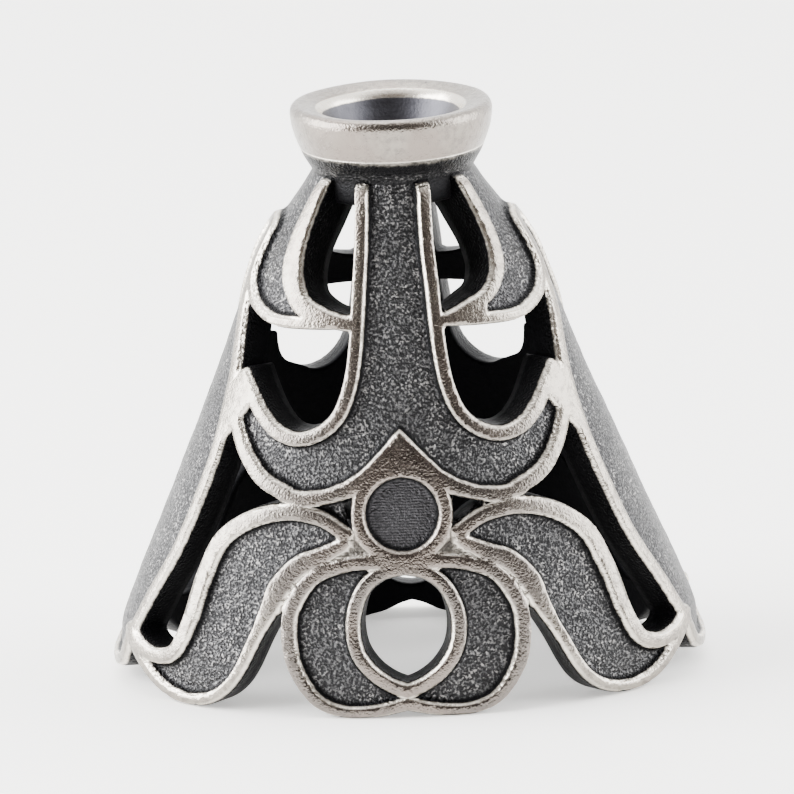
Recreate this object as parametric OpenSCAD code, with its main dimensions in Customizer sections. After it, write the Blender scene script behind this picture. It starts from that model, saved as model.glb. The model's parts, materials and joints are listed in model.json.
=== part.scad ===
// Pendant cap: a one-piece cast cone with a round collar, pierced and raised scrollwork.
// The mouth stands on the table at height 0 and the collar is at the top.
// The front is at -Y, the back repeats the front, and each half is the other's mirror.
// A place in the pattern is an angle round the wall from the middle of the front,
// in degrees, and a height above the table in millimetres.

/* [Body] */
// Width of the cast body, over its raised borders
body_w = 19.9; // [18:0.1:22]
// Depth of the cast body from front to back
body_d = 14.3; // [13:0.1:16]
// Height of the cast body, up to the collar
body_h = 17.1; // [16.9:0.05:17.4]

/* [Wall] */
// Thickness of the wall behind the sunk grounds
wall = 0.8; // [0.6:0.05:0.95]
// Height of the raised borders above the sunk grounds
relief = 0.33; // [0.25:0.01:0.42]
// Width of a raised border
border_w = 0.54; // [0.46:0.02:0.6]

/* [Collar] */
// Diameter of the hole through the collar
hole_d = 3; // [2.4:0.1:3.6]
// Radius of the rounded lip round the collar's bowl
lip_r = 0.4; // [0.3:0.05:0.45]

/* [Hidden] */
silver = "#c4c0b8";

// Sections of the wall: [height, half width, half depth] of the sunk ground
SECTIONS = [
    [0, 9.5, 6.85],
    [0.7, 9.6, 6.8],
    [1.6, 9.62, 6.74],
    [3, 9.15, 6.55],
    [5, 8.3, 6.25],
    [7, 7.47, 5.9],
    [9, 6.64, 5.4],
    [11, 5.85, 4.8],
    [13, 5.08, 4.2],
    [14.5, 4.4, 3.7],
    [15.6, 3.68, 3.25],
    [16.5, 3, 2.9],
    [17.2, 2.55, 2.55]
];

// Borders as [angle, height] rows along the middle of each raised wire
STEM = [
    [21.5, 17.1], [17.5, 16.1], [14.9, 15], [14.1, 13.5], [14.2, 12], [15.2, 10.75], [18, 9.85],
    [22.7, 9.32], [29, 9.07], [36, 9.2], [43, 9.65], [50, 10.25], [56, 10.75]
];
UPPER_LEAF_INNER = [
    [50.5, 17.1], [51.4, 16.1], [48.2, 14.9], [44, 14.05], [36.5, 13.42], [28, 13.13], [14.5, 12.8]
];
UPPER_LEAF_OUTER = [[14.5, 12.75], [34, 12.7], [48, 12.72], [60, 13], [71, 13.75]];
SIDE_PANEL = [
    [90, 0.58], [81, 0.7], [74.5, 1.05], [70.5, 1.9], [67, 3.2], [62, 5.05], [59.6, 6.95], [59.4, 8.85],
    [62.3, 10.85], [69.3, 12.85], [75.5, 14.6], [80, 15.3], [90, 15.5]
];
CRESCENT = [[56.5, 10], [49.1, 8.89], [41.6, 8.01], [36.4, 7.58], [30.2, 7.27]];
LEAF_OUTER = [
    [13.5, 6.05], [20, 6.53], [28, 6.71], [35.8, 6.53], [42.5, 6.08], [47.2, 5.43], [49, 4.37],
    [49.6, 2.93], [51.9, 1.82], [57.8, 1.46], [65, 1.62], [72, 2.08]
];
LEAF_INNER = [
    [72, 2.08], [65, 1.27], [58, 0.57], [51, 0.24], [44, 0.31], [38.6, 0.72], [34.6, 1.44],
    [31.9, 2.5], [29.7, 3.52], [27.4, 4.44], [23.7, 5.02], [19, 5.33], [13.5, 5.75]
];
PETAL = [
    [0, 0.47], [6.4, 0.24], [12.9, 0.22], [18.1, 0.58], [22, 1.5], [24.1, 2.6], [24.1, 3.6],
    [20.6, 4.6], [14, 5.03], [7, 5.15], [0, 5.15]
];
DROP = [[0, 4.95], [5, 4.78], [9, 4.25], [10.9, 3.3], [10, 2.3], [7, 1.55], [3.2, 1.08], [-1, 0.82]];

// The round boss in the middle of the front: its height and the radius of its border
boss_z = 6.68;
boss_r = 1.43;

// Borders that are not as wide as the rest: round the boss, over the outer leaf and along the crescent
boss_border = 0.52;
leaf_border = 0.62;
crescent_border = 0.68;

// Sunk grounds and raised plates: rows of [angle, height, angle, height] at their two edges
STEM_GROUND = [
    [0, 17.1, 21.5, 17.1], [0, 16.1, 17.5, 16.1], [0, 15, 14.9, 15], [0, 13.5, 14.1, 13.5],
    [0, 12, 14.2, 12], [0, 10.75, 15.2, 10.75], [0, 9.9, 18, 9.85], [0, 9.2, 21, 9.5],
    [6, 8.5, 25, 9.2], [12, 7.9, 29, 9.07], [19, 7.4, 33, 9.12], [27, 7.3, 37, 9.25],
    [35, 7.5, 41, 9.5], [41.6, 8.01, 45, 9.8], [49.1, 8.89, 49, 10.15], [53, 9.5, 53, 10.5]
];
UPPER_LEAF_GROUND = [
    [32, 13.25, 33, 12.7], [36.5, 13.42, 43, 12.71], [44, 14.05, 54, 12.83], [48.2, 14.9, 63.5, 13.2],
    [51.4, 16.1, 71, 13.75], [50.5, 17.1, 75.5, 14.75], [63, 17.1, 81, 15.35], [78, 17.1, 86, 15.45],
    [90, 17.1, 90, 15.5]
];
SIDE_GROUND = [
    [81, 0.7, 90, 0.6], [74.5, 1.05, 90, 1.1], [70.5, 1.9, 90, 1.9], [67, 3.2, 90, 3.2], [62, 5.05, 90, 5.05],
    [59.6, 6.95, 90, 6.95], [59.4, 8.85, 90, 8.85], [62.3, 10.85, 90, 10.85],
    [69.3, 12.85, 90, 12.85], [75.5, 14.6, 90, 14.6], [82, 15.38, 90, 15.42]
];
LEAF_GROUND = [
    [15, 6.15, 15, 5.66], [20, 6.53, 19.5, 5.3], [28, 6.71, 24.7, 4.9], [35.8, 6.53, 28, 4.25],
    [42.5, 6.08, 30, 3.38], [47.2, 5.43, 31.9, 2.5], [49, 4.37, 33.7, 1.78], [49.6, 2.93, 37.3, 0.92],
    [51.9, 1.82, 44.8, 0.29], [56.8, 1.48, 55, 0.4], [62, 1.53, 61.5, 0.91], [65, 1.62, 65, 1.27]
];
PETAL_GROUND = [
    [4, 4.85, 7, 5.15], [8, 4.45, 14, 5.03], [10.4, 3.8, 20.6, 4.6], [10.9, 3.2, 24.1, 3.6],
    [10.3, 2.5, 23.8, 2.4], [8.4, 1.85, 21.6, 1.4], [5.5, 1.33, 18.1, 0.58], [2.5, 1, 11.8, 0.21],
    [0, 0.9, 5.3, 0.24], [0, 0.7, 0, 0.47]
];
WEB_GROUND = [
    [3, 5.5, 3, 5.15], [8, 5.9, 8, 5.14], [13, 5.95, 13, 5.07], [18, 5.42, 17, 4.9],
    [23.7, 5.02, 20.6, 4.6], [26, 4.72, 22.3, 4.2], [27.6, 4.35, 23.6, 3.85]
];
OGEE_PLATE = [
    [0, 9.45, 0, 8.1], [2.2, 9.22, 2.5, 8.07], [5, 8.83, 5, 7.98], [8, 8.45, 8, 7.78],
    [11, 8.08, 11, 7.35], [15.5, 7.72, 15, 7.1], [20, 7.5, 20, 6.93], [26, 7.42, 26, 6.8],
    [32.3, 7.48, 32.3, 6.78]
];
BRIDGE_PLATE = [
    [14.5, 12.8, 14.5, 12.75], [20, 12.9, 20, 12.74], [28, 13.13, 27, 12.72], [36.5, 13.42, 34, 12.7]
];
JOINT_PLATE = [
    [48.5, 10.05, 50.5, 9.6], [52, 10.45, 52.7, 9.25], [56, 10.78, 55, 8.95], [59, 10.72, 57.6, 8.5],
    [62.3, 10.85, 59.4, 8.2]
];

// Metal that borders and panels carry behind the wall until the hollow is cut
spare = 0.25;

// Collar profile: [radius, height] from the neck up the flare
neck_bottom = 16.2;
FLARE = [[2.66, 16.2], [2.68, 17.05], [2.8, 17.28], [2.97, 17.6], [3.12, 17.95], [3.26, 18.3], [3.34, 18.65]];
lip_z = 18.87;
lip_out = 2.96;
lip_in = 2.68;
bowl_bottom = 17.4;

// Wall radii at a height
function section(z, column) = lookup(z, [for (row = SECTIONS) [row[0], row[column]]]);
function half_w(z) = section(z, 1);
function half_d(z) = section(z, 2);

// A point of the wall, lifted off the sunk ground
function on_wall(place, lift) =
    [(half_w(place[1]) + lift) * sin(place[0]), -(half_d(place[1]) + lift) * cos(place[0]), place[1]];

// Millimetres of wall in one degree
function degree_mm(place) =
    norm([half_w(place[1]) * cos(place[0]), half_d(place[1]) * sin(place[0])]) * PI / 180;

// A smooth curve through the rows of a table, with a number of steps between rows
function smooth_at(rows, i, u) =
    let (
        n = len(rows) - 1,
        b = rows[i],
        c = rows[i + 1],
        a = i > 0 ? rows[i - 1] : 2 * b - c,
        d = i + 1 < n ? rows[i + 2] : 2 * c - b
    )
    (2 * b + (c - a) * u + (2 * a - 5 * b + 4 * c - d) * u * u + (3 * b - a - 3 * c + d) * u * u * u) / 2;
function smooth(rows, steps) = [
    for (i = [0 : len(rows) - 2], k = [0 : steps - 1]) smooth_at(rows, i, k / steps),
    rows[len(rows) - 1]
];

// One step of one millimetre across a border, in degrees and millimetres
function across(path, i) =
    let (
        p = path[max(i - 1, 0)],
        q = path[min(i + 1, len(path) - 1)],
        m = degree_mm(path[i]),
        run = [(q[0] - p[0]) * m, q[1] - p[1]],
        unit = run / norm(run)
    )
    [-unit[1] / m, unit[0]];

// Rings of four corners joined into a closed bar
module bar(rings) {
    n = len(rings);
    sides = [for (i = [0 : n - 2], k = [0 : 3]) let (a = 4 * i + k, b = 4 * i + (k + 1) % 4) [[a, b, b + 4], [a, b + 4, a + 4]]];
    last = 4 * (n - 1);
    polyhedron(
        points = [for (ring = rings) each ring],
        faces = concat(
            [for (pair = sides) each pair],
            [[0, 2, 1], [0, 3, 2], [last, last + 1, last + 2], [last, last + 2, last + 3]]
        )
    );
}

// A raised border along a table of rows
module border(rows, rise, width = border_w, steps = 1) {
    path = smooth(rows, steps);
    base = width / 2;
    top = width / 2 - 0.07;
    bar([
        for (i = [0 : len(path) - 1]) let (s = across(path, i)) [
            on_wall(path[i] - s * base, -wall - spare),
            on_wall(path[i] - s * top, rise),
            on_wall(path[i] + s * top, rise),
            on_wall(path[i] + s * base, -wall - spare)
        ]
    ]);
}

// Which way round a table's edges run, as the sum of its cells' areas: negative where they face outwards
function turning(rows) =
    let (
        areas = [for (i = [0 : len(rows) - 2]) let (a = rows[i], b = rows[i + 1])
            cross([a[2] - a[0], a[3] - a[1]], [b[0] - a[0], b[1] - a[1]])
            + cross([b[2] - b[0], b[3] - b[1]], [b[2] - a[2], b[3] - a[3]])]
    )
    areas * [for (area = areas) 1];
function backwards(rows) = [for (i = [len(rows) - 1 : -1 : 0]) rows[i]];

// A panel of wall between the two edges of a table, up to a height above the ground
module panel(table, top, columns = 2) {
    rows = turning(table) < 0 ? table : backwards(table);
    n = len(rows);
    m = columns + 1;
    places = [for (row = rows, j = [0 : columns]) let (u = j / columns)
        [row[0], row[1]] * (1 - u) + [row[2], row[3]] * u];
    layer = n * m;
    grid = [for (i = [0 : n - 2], j = [0 : m - 2]) let (a = i * m + j, b = a + m)
        [[a, a + 1, b + 1], [a, b + 1, b]]];
    under = [for (pair = grid, t = pair) [t[2] + layer, t[1] + layer, t[0] + layer]];
    rim = concat(
        [for (j = [0 : m - 2]) [j, j + 1]],
        [for (i = [0 : n - 2]) [i * m + m - 1, (i + 1) * m + m - 1]],
        [for (j = [m - 2 : -1 : 0]) [(n - 1) * m + j + 1, (n - 1) * m + j]],
        [for (i = [n - 2 : -1 : 0]) [(i + 1) * m, i * m]]
    );
    walls = [for (e = rim) [[e[0], e[0] + layer, e[1] + layer], [e[0], e[1] + layer, e[1]]]];
    polyhedron(
        points = concat(
            [for (p = places) on_wall(p, top)],
            [for (p = places) on_wall(p, -wall - spare)]
        ),
        faces = concat([for (pair = grid) each pair], under, [for (pair = walls) each pair])
    );
}

// Rows of the boss: a half disc from the middle line to its round edge
function boss_place(angle, r) =
    let (z = boss_z + r * cos(angle)) [asin(r * sin(angle) / (half_w(z) + relief)), z];

module boss() {
    border([for (k = [0 : 9]) boss_place(20 * k, boss_r)], relief + 0.03, boss_border);
    edge = [for (k = [1 : 8]) boss_place(20 * k, boss_r)];
    panel([for (p = edge) [0, p[1], p[0], p[1]]], -0.02);
}

// A quarter of the body: the right half of the front
module quarter() {
    border(STEM, relief + 0.01);
    border(UPPER_LEAF_INNER, relief - 0.03);
    border(UPPER_LEAF_OUTER, relief);
    border(SIDE_PANEL, relief + 0.03);
    border(CRESCENT, relief - 0.02, crescent_border);
    border(LEAF_OUTER, relief + 0.02, leaf_border, 2);
    border(LEAF_INNER, relief - 0.01);
    border(PETAL, relief, steps = 2);
    border(DROP, relief + 0.01, steps = 2);
    boss();
    panel(STEM_GROUND, 0, 3);
    panel(UPPER_LEAF_GROUND, 0, 3);
    panel(SIDE_GROUND, 0, 3);
    panel(LEAF_GROUND, 0, 2);
    panel(PETAL_GROUND, 0, 2);
    panel(WEB_GROUND, relief - 0.13, 1);
    panel(OGEE_PLATE, relief - 0.04, 1);
    panel(BRIDGE_PLATE, relief - 0.05, 1);
    panel(JOINT_PLATE, relief - 0.01, 2);
}

// The hollow: the wall's inner face, round and up to the neck
module hollow() {
    levels = [-0.5, 0.7, 1.6, 3, 5, 7, 9, 11, 13, 14.5, 15.6, neck_bottom + 0.1];
    turns = 36;
    n = len(levels);
    sides = [for (i = [0 : n - 2], k = [0 : turns - 1])
        let (a = i * turns + k, b = i * turns + (k + 1) % turns)
        [[a, b, b + turns], [a, b + turns, a + turns]]];
    polyhedron(
        points = [for (z = levels, k = [0 : turns - 1]) on_wall([-360 * k / turns, z], -wall)],
        faces = concat(
            [for (pair = sides) each pair],
            [[for (k = [turns - 1 : -1 : 0]) k], [for (k = [0 : turns - 1]) (n - 1) * turns + k]]
        )
    );
}

// The pierced body, dressed flat where its lobes stand, at its exact overall size
module body() {
    resize([body_w, body_d, body_h]) difference() {
        for (sx = [0, 1], sy = [0, 1]) mirror([sx, 0, 0]) mirror([0, sy, 0]) intersection() {
            quarter();
            translate([0, -15, 0]) cube([15, 15, body_h]);
        }
        hollow();
    }
}

// The neck and flared collar, with a rounded lip and a bowl
module collar() {
    rotate_extrude($fn = 64) {
        polygon(concat(
            [[hole_d / 2 - 0.2, neck_bottom]],
            FLARE,
            [[lip_out, lip_z], [lip_in, lip_z], [lip_in - lip_r, lip_z], [hole_d / 2 - 0.2, bowl_bottom - 0.3]]
        ));
        translate([lip_out, lip_z]) circle(lip_r);
        translate([lip_in, lip_z]) circle(lip_r);
    }
}

module cap() {
    color(silver) difference() {
        union() {
            body();
            collar();
        }
        translate([0, 0, neck_bottom - 1]) cylinder(d = hole_d, h = 5, $fn = 64);
    }
}

cap();
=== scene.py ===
# %% [markdown]
# A pendant cap: one small silver casting, about 20 mm wide, that stands on its open mouth. It is a
# flattened cone under a round, flared collar. The wall of the cone is pierced between scrolls, and
# each scroll is edged by a raised, polished border round a sunk ground that the oxide has turned
# dark.
#
# The solid model already holds every form at full size, as flat facets. Here the same forms are
# made again as one fine, closed surface with soft edges, so that light runs along the borders as it
# does on cast metal. The first cell loads the solid model and hangs its parts on their bodies.

# %% Load the solid model
import json
import math

import bpy
import numpy as np
from mathutils import Matrix, Vector

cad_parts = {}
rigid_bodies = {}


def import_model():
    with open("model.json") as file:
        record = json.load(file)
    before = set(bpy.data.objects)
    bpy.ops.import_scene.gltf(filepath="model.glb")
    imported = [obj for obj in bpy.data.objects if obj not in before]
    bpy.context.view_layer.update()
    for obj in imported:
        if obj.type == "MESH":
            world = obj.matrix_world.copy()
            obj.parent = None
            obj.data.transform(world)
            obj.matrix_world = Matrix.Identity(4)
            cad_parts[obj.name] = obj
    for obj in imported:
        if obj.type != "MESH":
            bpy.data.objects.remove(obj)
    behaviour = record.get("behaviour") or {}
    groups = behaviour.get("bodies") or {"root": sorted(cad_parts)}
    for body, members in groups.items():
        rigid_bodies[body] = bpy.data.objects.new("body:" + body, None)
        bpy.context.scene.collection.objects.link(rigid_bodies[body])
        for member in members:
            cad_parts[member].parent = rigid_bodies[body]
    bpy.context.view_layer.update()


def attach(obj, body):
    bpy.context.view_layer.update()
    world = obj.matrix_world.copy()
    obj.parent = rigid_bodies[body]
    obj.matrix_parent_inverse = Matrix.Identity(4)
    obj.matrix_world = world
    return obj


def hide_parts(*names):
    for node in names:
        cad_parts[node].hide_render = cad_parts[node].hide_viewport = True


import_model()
MM = 0.001

# %% [markdown]
# ## The camera
# The photograph looks a little down on the cap, from almost straight in front. The ellipse of the
# collar's lip gives the angle: it is a circle seen 14 degrees from level. A long lens from far away
# keeps the sides nearly parallel, as in the photograph, and a small roll follows the way the cap
# leans in the picture.

# %% Camera at the photograph's angle
PHOTO_SIDE = 794
PIXELS_PER_MM = 30.0
AIM_HEIGHT = 9.85
AIM_PIXEL = (400.6, 376.0)
CAMERA_DISTANCE = 400.0
CAMERA_AZIMUTH = math.radians(1.1)
CAMERA_ELEVATION = math.radians(14.0)
CAMERA_ROLL = math.radians(2.05)
CAMERA_CLIP = (0.01, 10.0)
SENSOR = 36.0


def add_camera():
    """A camera on a sphere round the aim point: back along the view, then rolled about it."""
    back = Vector((
        math.sin(CAMERA_AZIMUTH) * math.cos(CAMERA_ELEVATION),
        -math.cos(CAMERA_AZIMUTH) * math.cos(CAMERA_ELEVATION),
        math.sin(CAMERA_ELEVATION),
    ))
    level = Vector((math.cos(CAMERA_AZIMUTH), math.sin(CAMERA_AZIMUTH), 0))
    upright = back.cross(level)
    right = level * math.cos(CAMERA_ROLL) - upright * math.sin(CAMERA_ROLL)
    up = level * math.sin(CAMERA_ROLL) + upright * math.cos(CAMERA_ROLL)
    data = bpy.data.cameras.new("photo_camera")
    data.sensor_width = SENSOR
    data.lens = SENSOR * CAMERA_DISTANCE * PIXELS_PER_MM / PHOTO_SIDE
    data.shift_x = (PHOTO_SIDE / 2 - AIM_PIXEL[0]) / PHOTO_SIDE
    data.shift_y = (AIM_PIXEL[1] - PHOTO_SIDE / 2) / PHOTO_SIDE
    data.clip_start, data.clip_end = CAMERA_CLIP
    camera = bpy.data.objects.new("photo_camera", data)
    place = Vector((0, 0, AIM_HEIGHT * MM)) + back * CAMERA_DISTANCE * MM
    turn = Matrix((right, up, back)).transposed().to_4x4()
    camera.matrix_world = Matrix.Translation(place) @ turn
    bpy.context.scene.collection.objects.link(camera)
    return camera


bpy.context.scene.camera = add_camera()
print("camera: lens", round(bpy.context.scene.camera.data.lens, 1), "mm")

# %% [markdown]
# ## The wall as a map
# Every scroll lies on the wall of the cone, so a place is given as on a map: an angle round the
# wall from the middle of the front, in degrees, and a height above the table, in millimetres. Four
# columns are enough for the cone itself: the height, half its width and half its depth there, and
# how thick its wall is. The wall thickens towards the top, where the casting closes in round the
# cord hole. A smooth curve through the columns takes out the creases that straight lines would
# leave.

# %% The wall's sections
SECTIONS = np.array([
    # height, half width, half depth, thickness
    (-0.5, 9.4, 6.88, 0.8),
    (0.0, 9.5, 6.85, 0.8),
    (0.7, 9.6, 6.8, 0.8),
    (1.6, 9.62, 6.74, 0.8),
    (3.0, 9.15, 6.55, 0.8),
    (5.0, 8.3, 6.25, 0.8),
    (7.0, 7.47, 5.9, 0.8),
    (9.0, 6.64, 5.4, 0.8),
    (11.0, 5.85, 4.8, 0.78),
    (13.0, 5.08, 4.2, 0.8),
    (14.5, 4.4, 3.7, 1.15),
    (15.6, 3.68, 3.25, 1.45),
    (16.5, 3.0, 2.9, 1.42),
    (17.2, 2.55, 2.55, 1.1),
])
HALF_WIDTH, HALF_DEPTH, THICKNESS = 1, 2, 3


def smooth_table(heights, column):
    """A cubic between rows, with each row's slope taken from its two neighbours."""
    x, y = SECTIONS[:, 0], SECTIONS[:, column]
    slope = np.gradient(y, x)
    i = np.clip(np.searchsorted(x, heights) - 1, 0, len(x) - 2)
    span = x[i + 1] - x[i]
    u = np.clip((heights - x[i]) / span, 0, 1)
    start = (1 + 2 * u) * (1 - u) ** 2 * y[i] + u * (1 - u) ** 2 * span * slope[i]
    return start + u * u * (3 - 2 * u) * y[i + 1] - u * u * (1 - u) * span * slope[i + 1]


def on_wall(angle, height, lift=0.0):
    """Map to space: x = (half width + lift) sin(angle), y = -(half depth + lift) cos(angle)."""
    turn = np.radians(angle)
    x = (smooth_table(height, HALF_WIDTH) + lift) * np.sin(turn)
    y = -(smooth_table(height, HALF_DEPTH) + lift) * np.cos(turn)
    return np.stack([x, y, height + 0 * x], axis=-1)


print("side of the wall at the table:", on_wall(90.0, 0.0).round(2).tolist())

# %% [markdown]
# ## The borders
# The raised borders are the drawing of this piece. Each one is a short table of places along its
# middle. A second table says how wide the border is from its start to its end. The right half of
# the front is listed in full. The left half and the back mirror it, apart from the few rows in
# which the cast piece really differs.

# %% Tables of the borders
BORDERS = {
    "stem": [
        (21.5, 17.3), (20.0, 16.7), (17.5, 16.1), (14.9, 15.0), (14.1, 13.5), (14.2, 12.0),
        (15.2, 10.75), (18.0, 9.82), (22.7, 9.28), (29.0, 9.02), (36.0, 9.15), (43.0, 9.62),
        (50.0, 10.25), (56.0, 10.75),
    ],
    "upper_leaf_inner": [
        (51.0, 17.3), (52.0, 16.6), (51.3, 16.05), (48.2, 14.9), (44.0, 14.05), (36.5, 13.42),
        (28.0, 13.13), (21.0, 12.88), (14.5, 12.72),
    ],
    "upper_leaf_outer": [
        (14.5, 12.8), (34.0, 12.67), (48.0, 12.65), (60.0, 12.95), (67.0, 13.3), (73.0, 13.8),
    ],
    "side_panel": [
        (90.0, 0.58), (81.0, 0.7), (74.5, 1.05), (70.5, 1.9), (67.0, 3.2), (62.0, 5.05),
        (59.6, 6.95), (59.4, 8.85), (62.3, 10.85), (70.8, 12.85), (77.0, 14.6), (81.0, 15.3),
        (90.0, 15.5),
    ],
    "crescent": [(58.2, 10.0), (50.6, 8.87), (42.3, 7.98), (36.7, 7.56), (30.2, 7.27)],
    "outer_leaf_top": [
        (13.5, 6.05), (20.0, 6.53), (28.0, 6.71), (35.8, 6.53), (42.5, 6.08), (47.2, 5.43),
        (49.0, 4.37), (49.6, 2.93), (51.9, 1.82), (57.8, 1.46), (65.0, 1.62), (72.0, 2.08),
    ],
    "outer_leaf_rim": [
        (72.0, 2.08), (65.0, 1.27), (58.0, 0.57), (51.0, 0.24), (44.0, 0.31), (38.6, 0.72),
        (34.6, 1.44), (31.9, 2.45), (29.6, 3.4), (27.6, 4.3), (24.0, 4.98), (19.0, 5.33),
        (13.5, 5.75),
    ],
    "petal": [
        (0.0, 0.47), (6.4, 0.24), (12.9, 0.22), (18.1, 0.58), (22.0, 1.5), (24.1, 2.6), (24.1, 3.6),
        (20.6, 4.6), (14.0, 5.03), (7.0, 5.15), (0.0, 5.15),
    ],
    "drop": [
        (-2.0, 4.95), (0.0, 4.95), (5.0, 4.78), (9.0, 4.25), (10.9, 3.3), (10.0, 2.3), (7.0, 1.55),
        (3.2, 1.08), (-1.0, 0.82),
    ],
}
WIDTHS = {
    "stem": (0.5, 0.52, 0.54, 0.56),
    "upper_leaf_inner": (0.5, 0.56, 0.58, 0.5, 0.5),
    "upper_leaf_outer": (0.5, 0.46, 0.42, 0.4),
    "side_panel": (0.5, 0.52, 0.54, 0.5),
    "crescent": (0.52, 0.54, 0.58, 0.6),
    "outer_leaf_top": (0.54, 0.6, 0.66, 0.7, 0.68, 0.62, 0.58, 0.5),
    "outer_leaf_rim": (0.48, 0.48, 0.46, 0.44, 0.44, 0.5, 0.84, 0.74, 0.48),
    "petal": (0.5, 0.44, 0.52, 0.6, 0.6, 0.56, 0.54),
    "drop": (0.52, 0.54, 0.52),
}
LEFT_BORDERS = {
    "upper_leaf_inner": BORDERS["upper_leaf_inner"][:4] + [
        (44.0, 14.0), (36.8, 13.25), (28.0, 12.92), (21.0, 12.78), (14.5, 12.7),
    ],
}
LEFT_WIDTHS = {"upper_leaf_inner": (0.5, 0.68, 0.86, 0.72, 0.52)}
BACK_BORDERS = {
    "stem": BORDERS["stem"][:7] + [
        (17.4, 9.85), (22.0, 9.22), (27.0, 8.98), (31.5, 8.98), (37.0, 9.2), (43.0, 9.4),
        (47.3, 9.63), (51.0, 9.98), (54.0, 10.4), (56.0, 10.72),
    ],
    "upper_leaf_inner": BORDERS["upper_leaf_inner"][:5] + [
        (36.5, 13.46), (28.0, 13.2), (21.0, 13.1), (14.5, 13.06),
    ],
    "upper_leaf_outer": [
        (14.5, 12.55), (34.0, 12.55), (48.0, 12.62),
    ] + BORDERS["upper_leaf_outer"][3:],
    "drop": BORDERS["drop"][:5] + [
        (10.2, 2.3), (7.6, 1.4), (4.0, 0.92), (0.0, 0.78), (-3.0, 0.84),
    ],
    "petal": [(0.0, 0.78), (3.2, 0.62), (6.4, 0.38), (9.6, 0.26)] + BORDERS["petal"][2:],
}
print("rows of the front's borders:", sum(len(rows) for rows in BORDERS.values()))

# %% [markdown]
# ## From a table to a curve
# A smooth curve runs through the rows. Between two rows it is a cubic whose slope at each row
# follows the line between that row's neighbours, so it passes every place without a kink and no
# handles have to be set. The same cubic later makes the collar's outline.

# %% A curve through the rows
CURVE_STEP = 0.18


def cubic(a, b, c, d, u):
    """The curve from b to c, with u from 0 to 1: slopes (c - a) / 2 at b and (d - b) / 2 at c."""
    bend, twist = 2 * a - 5 * b + 4 * c - d, 3 * b - a - 3 * c + d
    return (2 * b + (c - a) * u + bend * u**2 + twist * u**3) / 2


def spline(rows, widths):
    """The cubics through the rows, in pieces of about CURVE_STEP millimetres. The third column is
    half the border's width, spread evenly along the curve."""
    p = np.array(rows, float)
    p = np.vstack([2 * p[0] - p[1], p, 2 * p[-1] - p[-2]])
    out = []
    for a, b, c, d in zip(p[:-3], p[1:-2], p[2:-1], p[3:]):
        length = np.linalg.norm(on_wall(*b) - on_wall(*c))
        u = np.arange(0, 1, 1 / max(2, math.ceil(length / CURVE_STEP)))[:, None]
        out.append(cubic(a, b, c, d, u))
    curve = np.vstack(out + [p[-2:-1]])
    along = np.linspace(0, 1, len(curve))
    half = np.interp(along, np.linspace(0, 1, len(widths)), widths) / 2
    return np.column_stack([curve, half])


print("petal's border:", len(spline(BORDERS["petal"], WIDTHS["petal"])), "places")

# %% [markdown]
# ## The boss, the plates and the openings
# Between the borders there are three kinds of place. Some are solid plates at the borders' own
# height: the pointed spandrel over the boss, the joint beside the crescent and the bridge under the
# upper leaf. One, the web between leaf, boss and petal, stands a little lower, where the wax ran
# together. Some are openings, right through the wall. All the rest is sunk ground. A plate or an
# opening is an outline on the map, and its edge runs along the middle of a border, so the border
# itself trims it.

# %% Outlines of the plates and openings
BOSS_HEIGHT = 6.68
BOSS_RADIUS = 1.43
BOSS_BORDER = 0.52
WEB_LEVEL = -0.03
OGEE = [
    (-8.0, 8.45), (-5.0, 8.83), (-2.2, 9.22), (0.0, 9.45), (2.2, 9.22), (5.0, 8.83), (8.0, 8.45),
    (11.0, 8.08), (15.5, 7.72), (20.0, 7.5), (26.0, 7.42), (32.0, 7.5), (33.5, 7.4),
]
OGEE_UNDERSIDE = [
    (33.5, 7.2), (32.0, 7.0), (29.0, 6.95), (26.0, 6.9), (23.0, 6.85), (21.3, 6.9), (18.0, 7.0),
    (15.0, 7.1), (12.0, 7.24), (9.5, 7.45),
]


def piece_of(curve, first, last):
    """The stretch of a border between the places nearest to two given ones, in that order."""
    middle = on_wall(curve[:, 0], curve[:, 1])
    ends = [int(np.argmin(np.linalg.norm(middle - on_wall(*place), axis=1)))
            for place in (first, last)]
    step = 1 if ends[1] >= ends[0] else -1
    return curve[np.arange(ends[0], ends[1] + step, step), :2]


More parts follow.
